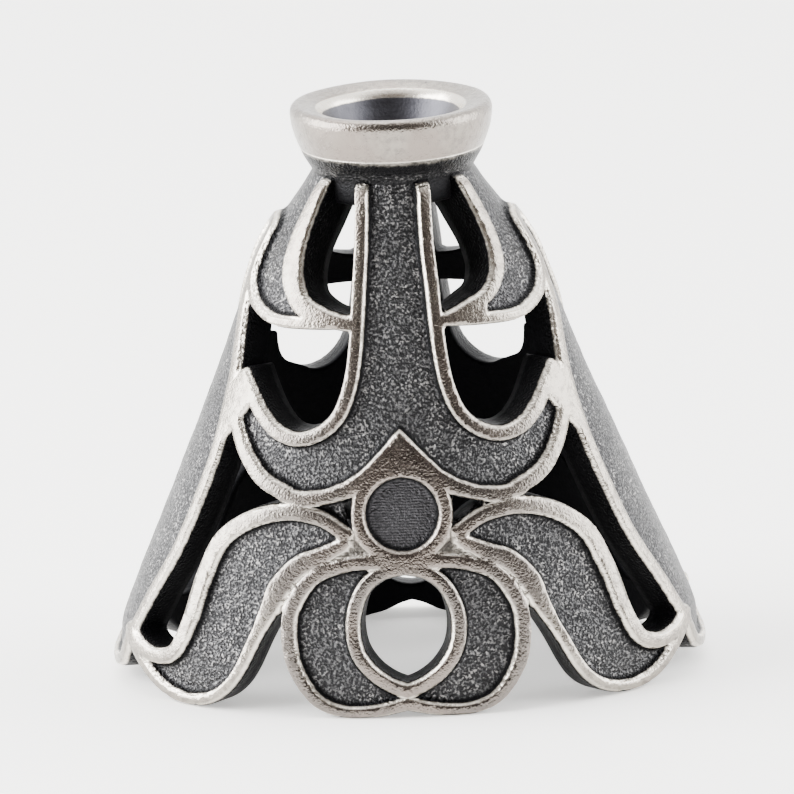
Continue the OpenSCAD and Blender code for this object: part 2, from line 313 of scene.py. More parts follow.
def drawing(borders, widths, clogged=False):
    """(curves, plates, openings) of one quarter. Clogged says that cast metal fills most of the
    small triangle beside the boss."""
    curves = {name: spline(borders[name], widths[name]) for name in borders}
    inner, outer = curves["upper_leaf_inner"], curves["upper_leaf_outer"]
    stem, panel, crescent = curves["stem"], curves["side_panel"], curves["crescent"]
    leaf, rim, petal = curves["outer_leaf_top"], curves["outer_leaf_rim"], curves["petal"]
    plates = {
        "spandrel": np.vstack([OGEE, OGEE_UNDERSIDE, [(5.0, 7.6), (-8.0, 7.6)]]),
        "bridge": np.vstack([
            piece_of(inner, (14.5, 12.72), (36.5, 13.42)),
            piece_of(outer, (34.0, 12.7), (14.5, 12.8)),
        ]),
        "joint": np.array([
            (48.5, 10.0), (52.0, 10.45), (56.0, 10.8), (59.0, 10.72), (62.3, 10.85), (60.3, 9.85),
            (59.4, 8.85), (59.4, 8.2), (57.6, 8.5), (55.0, 8.95), (52.5, 9.3), (50.5, 9.6),
        ]),
        "web": np.vstack([
            [(4.0, 5.15), (7.0, 5.6), (10.5, 6.1), (13.5, 5.9)],
            piece_of(rim, (13.5, 5.75), (29.4, 3.5)), [(27.1, 3.3)],
            piece_of(petal, (24.1, 3.6), (4.0, 5.15)),
        ]),
    }
    openings = {
        "teardrop": np.vstack([
            piece_of(stem, (21.5, 17.3), (14.3, 12.72)),
            piece_of(inner, (14.5, 12.72), (51.0, 17.3)),
        ]),
        "window": np.vstack([
            piece_of(stem, (14.1, 12.8), (56.0, 10.75)), [(59.0, 10.6)],
            piece_of(panel, (62.3, 10.85), (69.5, 12.6)),
            piece_of(outer, (64.0, 13.1), (14.5, 12.8)),
        ]),
        "slot": np.vstack([
            piece_of(crescent, (30.2, 7.27), (50.0, 9.0)), [(54.0, 9.0), (57.5, 8.6)],
            piece_of(panel, (59.4, 8.3), (70.5, 1.9)),
            piece_of(leaf, (69.0, 1.85), (30.0, 6.7)),
        ]),
        "triangle": np.array([
            (10.0, 7.1), (10.0, 6.6), (10.6, 6.3), (12.4, 6.3), (14.6, 6.75), (14.0, 7.1),
        ]) if clogged else np.vstack([
            [(9.9, 7.4), (10.0, 6.68), (10.6, 6.1)], piece_of(leaf, (13.5, 6.05), (23.0, 6.65)),
            [(22.0, 7.1), (15.0, 7.3)],
        ]),
        "drop": np.vstack([
            [(-3.0, 4.95)], piece_of(curves["drop"], (0.0, 4.95), (0.0, 0.9)), [(-3.0, 0.9)],
        ]),
        "mouth": np.vstack([
            [(-3.0, -2.0), (-3.0, 0.47)], piece_of(petal, (0.0, 0.47), (24.1, 3.4)), [(26.7, 3.4)],
            piece_of(rim, (29.6, 3.4), (72.0, 2.08)),
            piece_of(panel, (70.5, 1.9), (90.0, 0.58)),
            [(93.0, 0.58), (93.0, -2.0)],
        ]),
    }
    return curves, plates, openings


FRONT_RIGHT = drawing(BORDERS, WIDTHS)
FRONT_LEFT = drawing({**BORDERS, **LEFT_BORDERS}, {**WIDTHS, **LEFT_WIDTHS}, clogged=True)
BACK = drawing({**BORDERS, **BACK_BORDERS}, WIDTHS)
print("borders:", {name: len(curve) for name, curve in FRONT_RIGHT[0].items()})

# %% [markdown]
# ## Distances on the map
# Everything that follows is worked out from one number for each place: how far it is from the
# nearest border's edge, in millimetres, less than nothing on the border and more than nothing
# beside it. This is a distance field. It gives the height of the relief, the line where an opening
# is cut, and later the line between polished and dark metal.

# %% Distance fields
FAR = 9.0
TINY = 1e-6


def gap_to_line(places, line):
    """The least distance in space from each place to the pieces of a line on the bare wall, less
    half of the line's own width where it has one."""
    ends = on_wall(line[:, 0], line[:, 1])
    run = (ends[1:] - ends[:-1])[None]
    away = on_wall(places[:, 0], places[:, 1])[:, None] - ends[None, :-1]
    u = np.clip((away * run).sum(-1) / np.maximum((run**2).sum(-1), TINY**2), 0, 1)
    gap = np.sqrt(((away - run * u[..., None]) ** 2).sum(-1))
    if line.shape[1] > 2:
        gap -= line[:-1, 2] + (line[1:, 2] - line[:-1, 2]) * u
    return gap.min(1)


def inside(places, outline):
    """A place is inside where a ray from it towards larger angles crosses the outline an odd number
    of times."""
    x, y = places[:, 0][:, None], places[:, 1][:, None]
    a, b = outline, np.roll(outline, -1, axis=0)
    straddles = (a[:, 1] > y) != (b[:, 1] > y)
    rise = np.where(a[:, 1] == b[:, 1], 1, b[:, 1] - a[:, 1])
    crossing = a[:, 0] + (y - a[:, 1]) / rise * (b[:, 0] - a[:, 0])
    return (straddles & (x < crossing)).sum(1) % 2 == 1


def into_outline(places, outline):
    """The distance to an outline, taken as more than nothing inside it and less outside."""
    closed = np.vstack([outline, outline[:1]])
    return np.where(inside(places, outline), 1, -1) * gap_to_line(places, closed)


def boss_distance(places):
    """The distance in space from the middle of the boss."""
    middle = on_wall(0.0, BOSS_HEIGHT)
    return np.linalg.norm(on_wall(places[:, 0], places[:, 1]) - middle, axis=1)


def fields(places, quarter):
    """(beside, open): the distance beside the nearest border or plate of a quarter's drawing, and
    the distance into the nearest opening where nothing raised covers it."""
    curves, plates, openings = quarter
    beside = np.full(len(places), FAR)
    for line in curves.values():
        beside = np.minimum(beside, gap_to_line(places, line))
    from_boss = boss_distance(places)
    for name, outline in plates.items():
        plate = -into_outline(places, outline)
        if name == "spandrel":
            plate = np.maximum(plate, BOSS_RADIUS - from_boss)
        if name == "web":
            plate = np.maximum(plate, WEB_LEVEL)
        beside = np.minimum(beside, plate)
    beside = np.minimum(beside, np.abs(from_boss - BOSS_RADIUS) - BOSS_BORDER / 2)
    deep = np.full(len(places), -FAR)
    for outline in openings.values():
        deep = np.maximum(deep, into_outline(places, outline))
    return beside, np.minimum(beside, deep)


beside, into = fields(np.array([(0.0, 12.0), (0.0, 3.0)]), FRONT_RIGHT)
print("on the stem and in the drop:", beside.round(2), "beside,", into.round(2), "open")

# %% [markdown]
# ## Cutting a mesh along a line
# A grid drawn over the map knows nothing of the borders, so their edges would come out as steps.
# The cure is to cut the triangles exactly where the distance field passes a value. Points that
# already lie close to the line are first slid onto it, which keeps thin splinters out of the mesh.

# %% Cutting triangles along a level of a field
def cut(places, faces, values):
    """Splits each triangle that a zero line of the values crosses, with the new points placed on
    the line by the ratio of the two values, and returns (places, faces, values)."""
    sign = np.sign(values).astype(int)
    of_face = sign[faces]
    edges = np.vstack([faces[:, [0, 1]], faces[:, [1, 2]], faces[:, [2, 0]]])
    crossed = edges[sign[edges[:, 0]] * sign[edges[:, 1]] < 0]
    keys = np.unique(np.sort(crossed, axis=1), axis=0)
    a, b = keys[:, 0], keys[:, 1]
    share = (values[a] / (values[a] - values[b]))[:, None]
    fresh = places[a] + (places[b] - places[a]) * share
    code = keys[:, 0].astype(np.int64) * len(places) + keys[:, 1]
    total = len(places)

    def point_on(p, q):
        lo, hi = np.minimum(p, q).astype(np.int64), np.maximum(p, q)
        return total + np.searchsorted(code, lo * total + hi)

    out = [faces[np.abs(of_face.max(1) - of_face.min(1)) < 2]]
    for turn in range(3):
        a, b, c = (faces[:, (turn + k) % 3] for k in range(3))
        lone = (sign[a] * sign[b] < 0) & (sign[a] * sign[c] < 0)
        a1, b1, c1 = a[lone], b[lone], c[lone]
        p, q = point_on(a1, b1), point_on(a1, c1)
        out += [np.stack(t, 1) for t in ((a1, p, q), (p, b1, c1), (p, c1, q))]
        split = (sign[a] == 0) & (sign[b] * sign[c] < 0)
        a2, b2, c2 = a[split], b[split], c[split]
        p = point_on(b2, c2)
        out += [np.stack(t, 1) for t in ((a2, b2, p), (a2, p, c2))]
    values = np.concatenate([values, np.zeros(len(fresh))])
    return np.vstack([places, fresh]), np.vstack(out), values


square = np.array([[0.0, 0.0], [1.0, 0.0], [1.0, 1.0], [0.0, 1.0]])
halves = cut(square, np.array([[0, 1, 2], [0, 2, 3]]), square[:, 0] - 0.5)
print("a square cut down its middle:", len(halves[1]), "triangles")

# %% [markdown]
# ## Sliding points onto a line
# A field also says which way its zero line lies and, by its slope, how far off. So a point near the
# line gets there in one or two steps. Points on the seams between quarters only slide along them,
# so that the four quarters still match.

# %% Sliding
SLOPE_STEP = 0.01
LEAST_SLOPE = 0.25
GRID_REACH = 0.05
SETTLE_REACH = 0.04
ON_LINE = 0.012
TOP = 17.15


def degree_length(places):
    """Millimetres of wall in one degree: the distance between half a degree either side."""
    left, right = (on_wall(places[:, 0] + way, places[:, 1]) for way in (-0.5, 0.5))
    return np.linalg.norm(right - left, axis=-1)


def slope_of(places, values_at):
    """The field's slope per millimetre round the wall and up it, by small differences."""
    turn = SLOPE_STEP / np.maximum(degree_length(places), TINY)
    round_step = np.stack([turn, 0 * turn], 1)
    up_step = np.array([0, SLOPE_STEP])
    return [(values_at(places + step) - values_at(places - step)) / (2 * SLOPE_STEP)
            for step in (round_step, up_step)]


def on_seam(places):
    """True for the places on the plane of the front's middle or on that of the side's middle."""
    return (places[:, 0] < TINY) | (places[:, 0] > 90 - TINY)


def slide_onto(places, values_at, reach, held):
    """Moves each place within reach of the zero line by -value times slope over slope squared.
    Places on a seam keep their angle, and held ones their height."""
    off = values_at(places)
    near = np.abs(off) < reach
    moved = places.copy()
    by_angle, by_height = slope_of(places[near], values_at)
    steep = np.maximum(by_angle**2 + by_height**2, LEAST_SLOPE)
    turn = np.where(on_seam(places[near]), 0, -off[near] * by_angle / steep)
    rise = np.where(held[near], 0, -off[near] * by_height / steep)
    moved[near, 0] += turn / np.maximum(degree_length(places[near]), TINY)
    moved[near, 1] += rise
    return moved


def settle(places, values_at, held):
    """Two short slides, for points that a cut has placed close to the line."""
    for _ in range(2):
        places = slide_onto(places, values_at, SETTLE_REACH, held)
    return places


def clean(values):
    """Values within ON_LINE of nothing become exactly nothing."""
    return np.where(np.abs(values) < ON_LINE, 0.0, values)


print("one degree at the table:", degree_length(np.array([[0.0, 0.0], [90.0, 0.0]])).round(3), "mm")

# %% [markdown]
# ## The relief
# Seen in section, a border is a low bank: a fillet at its foot, a steep flank, a shoulder that
# tumbling has rounded, and a nearly flat top. The height follows from the distance beside the
# border alone, so one short formula shapes every scroll.

# %% The relief's height
RELIEF = 0.33
SHOULDER = 0.1
FILLET = 0.05
CROWN_WIDTH = 0.2
CROWN_SHARE = 0.04
SINK_OVER = 0.35
SUNK_SHARE = 0.35


def eased(u):
    """0 to 1 with level ends: 3 u squared less 2 u cubed, on the part of u from 0 to 1."""
    u = np.clip(u, 0, 1)
    return u * u * (3 - 2 * u)


def relief_height(beside):
    """Height over the ground: an eased flank from fillet to shoulder, and a faint rounded crown."""
    flank = eased((FILLET - beside) / (SHOULDER + FILLET))
    crown = np.clip((-beside - SHOULDER) / CROWN_WIDTH, 0, 1)
    return RELIEF * ((1 - CROWN_SHARE) * flank + CROWN_SHARE * (2 * crown - crown * crown))


def sinking(height):
    """1 along the borders, about a third at their top ends, where they run into the neck."""
    return SUNK_SHARE + (1 - SUNK_SHARE) * eased((TOP - height) / SINK_OVER)


print("relief from the foot inwards:", relief_height(np.array([0.05, 0.0, -0.1, -0.3])).round(3))

# %% [markdown]
# ## The grid
# One quarter of the wall is drawn on a grid of angle and height. Its cells are cut into triangles
# with their diagonals turned by turns, so that no direction is favoured.

# %% The grid
COLUMNS = 88
ROWS = 132


def quarter_grid():
    """A grid of angle 0 to 90 by height 0 to the top, each cell cut into two triangles."""
    angle = np.linspace(0, 90, COLUMNS + 1)
    height = np.linspace(0, TOP, ROWS + 1)
    places = np.stack(np.meshgrid(angle, height), -1).reshape(-1, 2)
    i = (np.arange(ROWS)[:, None] * (COLUMNS + 1) + np.arange(COLUMNS)[None]).ravel()
    low, high = [i, i + 1], [i + COLUMNS + 1, i + COLUMNS + 2]
    even = (i // (COLUMNS + 1) + i % (COLUMNS + 1)) % 2 == 0
    one = np.stack([low[0], low[1], np.where(even, high[1], high[0])], 1)
    two = np.stack([np.where(even, low[0], low[1]), high[1], high[0]], 1)
    return places, np.vstack([one, two])


def drop_unused(places, faces):
    """Only the places that a face uses, with the faces numbered again to match."""
    used = np.unique(faces)
    new = np.full(len(places), -1)
    new[used] = np.arange(len(used))
    return places[used], new[faces]


def rim_edges(faces):
    """Edges that belong to one triangle only, in that triangle's own direction."""
    edges = np.vstack([faces[:, [0, 1]], faces[:, [1, 2]], faces[:, [2, 0]]])
    code = np.sort(edges, axis=1)
    _, first, count = np.unique(code, axis=0, return_index=True, return_counts=True)
    return edges[first[count == 1]]


print("grid:", len(quarter_grid()[0]), "places")

# %% [markdown]
# ## One quarter of the pierced wall
# The grid is cut along the openings and what is open is dropped. The outer skin is then cut twice
# more, along the foot and along the shoulder of the borders, so that the relief's steep flank is a
# clean strip between two smooth lines. The inner face keeps the plainer mesh, and a band of wall
# joins the two round every opening. Two numbers go with each point, for the finish: how far beside
# a border it lies, and how far within the wall. Near the neck the first one is eased towards the
# border's edge, because there the borders lose their polish little by little.

# %% The quarter's mesh
WALL_BANDS = (0.35, 0.7)
WITHIN = (0.0, 0.7, 0.85, 1.0)
WALL_BESIDE = 0.04
BORDER_SLACK = 0.05
POLISH_DEPTH, POLISH_FADE = 0.4, 0.385
FADE_FROM, FADE_OVER = 16.4, 0.65


def pierced_grid(values_at):
    """The grid cut along the openings: (places, faces, rim edges), without what is open."""
    places, faces = quarter_grid()
    on_end = (places[:, 1] < TINY) | (places[:, 1] > TOP - TINY)
    places = slide_onto(places, values_at, GRID_REACH, on_end)
    places, faces, value = cut(places, faces, clean(values_at(places)))
    faces = faces[(value[faces].max(1) <= 0) & (value[faces].min(1) < 0)]
    places, faces = drop_unused(places, faces)
    rim = rim_edges(faces)
    for seam in (places[:, 0] < TINY, places[:, 0] > 90 - TINY):
        rim = rim[~seam[rim].all(1)]
    return places, faces, rim


def quarter_shell(quarter):
    """The closed quarter: (points in space, faces, beside, within), with within 0 on the outer skin
    and 1 on the inner face."""
    def beside_only(at):
        return fields(at, quarter)[0]

    def open_only(at):
        return fields(at, quarter)[1]

    places, faces, rim = pierced_grid(open_only)
    ends = np.unique(rim)
    held = np.isin(places[ends, 1], (0, TOP))
    places[ends] = settle(places[ends], open_only, held)
    base, base_faces = places.copy(), faces
    fixed = {}
    for level in (0.0, -SHOULDER):
        value = clean(beside_only(places) - level)
        value[ends] = np.where(held, SHOULDER, value[ends] if level else 0.0)
        count = len(places)
        places, faces, _ = cut(places, faces, value)
        free = np.zeros(len(places) - count, bool)
        places[count:] = settle(places[count:], lambda at: beside_only(at) - level, free)
        fixed[level] = np.arange(count, len(places))
    beside = beside_only(places)
    for level, which in fixed.items():
        beside[which] = level
    beside[ends] = np.where(held | (beside[ends] > BORDER_SLACK), beside[ends], 0.0)

    lift = relief_height(beside) * sinking(places[:, 1])
    layers, rings = [on_wall(places[:, 0], places[:, 1], lift)], [rim]
    angle, height = places[ends].T
    for share in WALL_BANDS:
        new = np.full(len(places), -1)
        new[ends] = sum(len(layer) for layer in layers) + np.arange(len(ends))
        layers.append(on_wall(angle, height, -share * smooth_table(height, THICKNESS)))
        rings.append(new[rim])
    inner_from = sum(len(layer) for layer in layers)
    layers.append(on_wall(base[:, 0], base[:, 1], -smooth_table(base[:, 1], THICKNESS)))
    rings.append(rim + inner_from)
    walls = []
    for upper, lower in zip(rings[:-1], rings[1:]):
        walls.append(np.stack([upper[:, 1], upper[:, 0], lower[:, 0]], 1))
        walls.append(np.stack([upper[:, 1], lower[:, 0], lower[:, 1]], 1))

    points = np.vstack(layers)
    within = np.concatenate([np.full(len(layer), far) for layer, far in zip(layers, WITHIN)])
    fade = -POLISH_DEPTH + POLISH_FADE * np.clip((places[:, 1] - FADE_FROM) / FADE_OVER, 0, 1)
    on_walls = np.full(len(points) - len(places), WALL_BESIDE)
    near = np.concatenate([np.maximum(beside, fade), on_walls])
    return points, np.vstack([faces, *walls, base_faces[:, ::-1] + inner_from]), near, within


quarters = [quarter_shell(quarter) for quarter in (FRONT_RIGHT, FRONT_LEFT, BACK)]
for points, faces, *_ in quarters:
    print("quarter:", len(points), "points,", len(faces), "triangles")

# %% [markdown]
# ## Four quarters make the whole
# Every quarter is made as a right half of the front, and is then mirrored to its own place. A
# mirror turns a triangle inside out, so each mirrored quarter has the order of its corners turned
# back. The quarters are drawn alike near the two planes where they meet, so the points there match
# and are made one, which closes the surface.

# %% Mirror and weld
WELD_DECIMALS = 4
QUARTER_SIGNS = [(1, 1), (-1, 1), (1, -1), (-1, -1)]


def whole_shell(quarters):
    """Four quarters, each times its own signs of x and y, welded where points fall together."""
    all_faces, total = [], 0
    for (points, faces, *_), (sx, sy) in zip(quarters, QUARTER_SIGNS):
        all_faces.append((faces if sx * sy > 0 else faces[:, ::-1]) + total)
        total += len(points)
    stacked = np.vstack([q[0] * [sx, sy, 1] for q, (sx, sy) in zip(quarters, QUARTER_SIGNS)])
    keys = np.round(stacked, WELD_DECIMALS) + 0.0
    _, first, back = np.unique(keys, axis=0, return_index=True, return_inverse=True)
    joined = back.reshape(-1)[np.vstack(all_faces)]
    solid = (joined != np.roll(joined, 1, axis=1)).all(1)
    near, within = (np.concatenate([q[k] for q in quarters])[first] for k in (2, 3))
    return stacked[first], joined[solid], near, within


points, faces, near, within = whole_shell(quarters + quarters[-1:])
print("pierced body:", len(points), "points,", len(faces), "triangles")

# %% [markdown]
# ## The unevenness of a casting
# Cast and tumbled metal is never quite true. A slow noise, worked out in space, moves every point
# by a few hundredths of a millimetre, and the sunk grounds get a second, finer noise, because they
# were matted with a punch in the wax. Both are real shape, so they also show in profile and in the
# mesh itself.

# %% Noise in space
UNEVEN_SIZE, UNEVEN_DEPTH, UNEVEN_SEED = 1.7, 0.03, 11
MATTING_SIZE, MATTING_DEPTH, MATTING_SEED = 0.3, 0.012, 31
MATTING_FROM, MATTING_OVER = 0.08, 0.1
LATTICE_NUMBERS = 4096
LATTICE_KEYS = (73856093, 19349663, 83492791)
LATTICE_SHIFT = 100.0


def slow_noise(points, size, seed):
    """Smooth noise from -1 to 1 in space: random numbers on a lattice of the given size in
    millimetres, eased between the eight corners round each point."""
    table = np.random.default_rng(seed).uniform(-1, 1, LATTICE_NUMBERS)
    q = points / size + LATTICE_SHIFT
    cell = np.floor(q).astype(np.int64)
    u = eased(q - cell)
    total = np.zeros(len(points))
    for corner in range(8):
        bits = np.array([corner & 1, (corner >> 1) & 1, (corner >> 2) & 1])
        keys = (cell + bits) * LATTICE_KEYS
        code = (keys[:, 0] ^ keys[:, 1] ^ keys[:, 2]) % LATTICE_NUMBERS
        total += np.prod(np.where(bits == 1, u, 1 - u), axis=1) * table[code]
    return total


def uneven(points):
    """Each point moved by three noises, one for each axis."""
    moves = [slow_noise(points, UNEVEN_SIZE, UNEVEN_SEED + k) for k in range(3)]
    return points + UNEVEN_DEPTH * np.stack(moves, -1)


def matted(points, near, within):
    """The sunk ground moved in and out along the line from the axis by the finer noise."""
    ground = np.clip((near - MATTING_FROM) / MATTING_OVER, 0, 1) * (1 - within)
    outward = points * [1, 1, 0]
    outward /= np.linalg.norm(outward, axis=1)[:, None]
    noise = slow_noise(points, MATTING_SIZE, MATTING_SEED)
    return points + outward * (MATTING_DEPTH * ground * noise)[:, None]


points = uneven(matted(points, near, within))
print("body box:", points.min(0).round(2), points.max(0).round(2))

# %% [markdown]
# ## The body as an object
# The arrays go into a mesh in a few calls, and the two numbers that the finish needs go onto its
# points. The piece rides on the cap's one body, hides the faceted solid and takes its silver.

# %% The pierced body
def mesh_piece(name, points, faces, attributes=()):
    """A mesh object at the origin, from points in millimetres, with named numbers on them."""
    mesh = bpy.data.meshes.new(name)
    mesh.vertices.add(len(points))
    mesh.vertices.foreach_set("co", (points * MM).ravel())
    mesh.loops.add(faces.size)
    mesh.loops.foreach_set("vertex_index", faces.ravel())
    mesh.polygons.add(len(faces))
    mesh.polygons.foreach_set("loop_start", np.arange(0, faces.size, faces.shape[1]))
    mesh.polygons.foreach_set("loop_total", np.full(len(faces), faces.shape[1]))
    mesh.polygons.foreach_set("use_smooth", np.ones(len(faces), bool))
    for key, numbers in dict(attributes).items():
        layer = mesh.attributes.new(key, "FLOAT", "POINT")
        layer.data.foreach_set("value", numbers.astype(np.float32))
    mesh.update(calc_edges=True)
    mesh.validate()
    piece = bpy.data.objects.new(name, mesh)
    bpy.context.scene.collection.objects.link(piece)
    return piece


body = mesh_piece("pierced_body", points, faces, {"beside": near, "within": within})
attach(body, "root")
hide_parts("cap")
print("body:", len(body.data.edges), "edges")

# %% [markdown]
# ## The collar
# The collar is round, so half of its outline, turned about the cap's axis, gives the whole: a short
# neck, a cup that flares to a thick rounded lip, a bowl inside it and the hole for the cord. Its
# finish changes along the outline, so each stretch says how far it is polished and how far it is
# left black. The lip's inner edge, where it rolls into the bowl, is kept bright polished to paint
# the highlight that runs along it.

# %% Collar from a turned outline
COLLAR_OUTLINE = [
    # radius, height: from the hole's lower edge, under the neck, up the flare and into the bowl
    (1.5, 16.25), (2.0, 16.2), (2.5, 16.25), (2.62, 16.6), (2.64, 17.0), (2.76, 17.25),
    (2.95, 17.57), (3.1, 17.9), (3.22, 18.2), (3.31, 18.5), (3.36, 18.8), (3.37, 19.0),
    (3.31, 19.17), (3.18, 19.26), (3.0, 19.26), (2.75, 19.2), (2.52, 19.12), (2.38, 19.0),
    (2.28, 18.84), (2.17, 18.6), (2.02, 18.3), (1.8, 17.85), (1.62, 17.5), (1.52, 17.2),
    (1.5, 16.9),
]
COLLAR_FINISH = np.array([
    # row of the outline, beside (below nothing is polished), within (1 is black)
    (1.0, 0.3, 1.0), (3.0, 0.2, 0.6), (4.6, 0.15, 0.2), (5.4, 0.06, 0.0), (6.0, -0.005, 0.0),
    # rows 16.2 to 17.7 keep the lip's inner edge polished but not flat: a painted highlight along
    # it
    (6.75, -0.03, 0.0), (7.0, -0.16, 0.0), (7.5, -0.2, 0.0), (15.6, -0.2, 0.0), (16.2, -0.06, 0.0),
    (17.7, -0.06, 0.0), (18.5, 0.05, 0.0), (19.5, 0.2, 0.0), (21.0, 0.3, 0.2), (23.0, 0.3, 1.0),
])
COLLAR_TURNS = 256
COLLAR_PARTS = 4


def closed_spline(rows, parts):
    """The cubics through the rows and back to the first one, each cut into so many parts."""
    p = np.array(rows, float)
    u = (np.arange(parts) / parts)[None, :, None]
    a, b, c, d = (np.roll(p, 1 - k, axis=0)[:, None, :] for k in range(4))
    return cubic(a, b, c, d, u).reshape(-1, 2)


def collar_mesh():
    """The outline turned about the axis: x = r sin(turn), y = -r cos(turn), z = height."""
    outline = closed_spline(COLLAR_OUTLINE, COLLAR_PARTS)
    n = len(outline)
    turn = np.linspace(0, 2 * np.pi, COLLAR_TURNS, endpoint=False)[:, None]
    r, z = outline[:, 0][None], outline[:, 1][None]
    points = np.stack([r * np.sin(turn), -r * np.cos(turn), z + 0 * turn], -1).reshape(-1, 3)
    i, k = np.meshgrid(np.arange(COLLAR_TURNS), np.arange(n), indexing="ij")
    here, up = i * n + k, i * n + (k + 1) % n
    ahead = ((i + 1) % COLLAR_TURNS) * n
    faces = np.stack([here, ahead + k, ahead + (k + 1) % n, up], -1).reshape(-1, 4)
    return points, faces, np.tile(np.arange(n) / COLLAR_PARTS, COLLAR_TURNS)


collar_points, collar_faces, along = collar_mesh()
beside, within = (np.interp(along, COLLAR_FINISH[:, 0], COLLAR_FINISH[:, k]) for k in (1, 2))
collar_points = uneven(collar_points)
collar = mesh_piece("collar", collar_points, collar_faces, {"beside": beside, "within": within})
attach(collar, "root")
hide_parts("cap")
print("collar:", len(collar_faces), "faces")

# %% [markdown]
# ## Finishes
# The real finish is oxidised sterling silver. The cast cap was dipped until all of it went black,
# and then tumbled and wiped, which took the black off whatever stands proud. So there is one
# material, and what changes is how far the oxide is worn away, with some painted shade, painted
# highlights and painted dark reflections laid into its colour as well. The distance beside the
# borders, kept on the points, says where: less than nothing is a border's top, and just over
# nothing is its foot, where the black oxide stays and painted shade darkens the crease further.

# %% Helpers for materials
def linear(code):
    """An sRGB hex colour as linear red, green, blue and full alpha."""
    part = np.array([int(code[i:i + 2], 16) for i in (1, 3, 5)]) / 255
    value = np.where(part <= 0.04045, part / 12.92, ((part + 0.055) / 1.055) ** 2.4)
    return (*value.tolist(), 1.0)


MATH, RANGE, MIX = "ShaderNodeMath", "ShaderNodeMapRange", "ShaderNodeMix"
VECTOR = "ShaderNodeVectorMath"


def node(tree, kind, inputs=(), out=0, **settings):
    """Adds a node with its settings and links, and gives back one of its outputs. Each input is a
    plain value, or an output to link from."""
    made = tree.nodes.new(kind)
    for key, value in settings.items():
        setattr(made, key, value)
    for key, value in dict(inputs).items():
        if isinstance(value, bpy.types.NodeSocket):
            tree.links.new(value, made.inputs[key])
        else:
            made.inputs[key].default_value = value
    return made.outputs[out] if len(made.outputs) else made


def new_material(name):
    """An empty material, and the tree that its nodes go into."""
    material = bpy.data.materials.new(name)
    material.use_nodes = True
    material.node_tree.nodes.clear()
    return material, material.node_tree


print("middle grey reflects", round(linear("#808080")[0], 3))

# %% [markdown]
# ## Oxidised silver: its colours and sizes
# Polished silver is pale and faintly warm, and tumbling leaves it satin and a little pitted, not
# mirror-bright. Round the boss, on the petals' flats and on the flats round the middle of the
# front and back, the polished metal is painted greyer and browner: partly brown tarnish, and
# partly a painted dark reflection of the room in front of the cap. The borders' flats are painted
# greyer than their rounded shoulders, partly from wear and partly as painted shade beside the
# shoulders' highlights. The matted ground keeps its dark oxide over a fine grain, and its bright
# specks on the high points are partly rubbed metal and partly painted glints. The boss's disc is
# scored with fine level lines. The bowl is smooth and steel-grey, and the inside was never rubbed
# and stays nearly black.

# %% Colours and sizes of the silver
GRAIN, MOTTLE, PATCH = 0.042, 0.14, 0.9    # mm; this grain is as fine as the photograph shows
DISC_LINE, LINE_WAVER = 0.09, 0.07         # mm between the scored lines, and how far they waver
PIT_SPACING, PIT_RADIUS = 1.1, 0.035       # mm
RAGGED = 0.03                              # mm by which the oxide's edge strays
# The second colour greys the borders' flats: partly wear, partly painted shade beside the
# highlights on the rounded shoulders. The third and fourth are partly real stain and tarnish and
# partly a painted dark reflection on the front-facing flats.
POLISHED, WORN_AND_SHADED_FLAT, STAIN_AND_DARK_REFLECTION, TARNISH_AND_DARK_REFLECTION = "#d8d1c5", "#918b82", "#67625e", "#7d746d"
# The rubbed colour is partly bare metal on the grain's high points and partly painted glints.
OXIDE_DARK, OXIDE_WORN, RUBBED_GLINT = "#262627", "#545455", "#9a9896"
SCORE_LOW, SCORE_HIGH = "#2f2f31", "#414042"
# The foot's black is oxide left in the crease, darkened further as painted shade; the pits share
# it.
BLACK_OXIDE_AND_SHADE, INSIDE, BOWL = "#131314", "#0e0e10", "#46464b"
OXIDE_ROUGHNESS, POLISHED_ROUGHNESS = 0.36, 0.2
MOTTLE_ROUGHNESS, INSIDE_ROUGHNESS = 0.12, 0.25
BUMP_DEPTH = 0.07                          # mm
SMOOTH_GRAIN, POLISHED_GRAIN = 0.1, 0.28   # how much of the grain's height is left there
MOTTLE_HEIGHT, LINE_HEIGHT = 0.14, 0.06    # of the bump's depth
print("polished silver reflects", [round(part, 2) for part in linear(POLISHED)[:3]])

# %% [markdown]
# ## Oxidised silver: what it follows
# Everything is worked out in millimetres on the object itself: the two numbers on the points, three
# noises, the distances that single out the boss, the petals and the bowl, a scatter of pits, and
# the scored lines.

# %% Places and noises
silver, tree = new_material("oxidised_sterling_silver")
place = node(tree, "ShaderNodeTexCoord", out="Object")
mm = node(tree, VECTOR, {0: place, "Scale": 1 / MM}, operation="SCALE")
beside, within = (node(tree, "ShaderNodeAttribute", out="Fac", attribute_name=name)
                  for name in ("beside", "within"))
x, z = (node(tree, "ShaderNodeSeparateXYZ", {0: mm}, out=axis) for axis in ("X", "Z"))
grain, mottle, patch = (
    node(tree, "ShaderNodeTexNoise",
         {"Vector": mm, "Scale": 0.5 / size, "Detail": detail, "Roughness": 0.6})
    for size, detail in ((GRAIN, 1.0), (MOTTLE, 2.0), (PATCH, 3.0)))
ragged = node(tree, MATH, {0: mottle, 1: RAGGED, 2: beside}, operation="MULTIPLY_ADD")
clusters = node(tree, MIX, {0: 0.4, 2: grain, 3: mottle})
across = node(tree, MATH, {0: x}, operation="ABSOLUTE")
facing = node(tree, VECTOR, {0: mm, 1: (1, 0, 1)}, operation="MULTIPLY")  # seen from the front
from_boss = node(tree, VECTOR, {0: facing, 1: (0, 0, BOSS_HEIGHT)}, out="Value",
                 operation="DISTANCE")
level = node(tree, VECTOR, {0: mm, 1: (1, 1, 0)}, operation="MULTIPLY")  # seen from above
radius = node(tree, VECTOR, {0: level}, out="Value", operation="LENGTH")
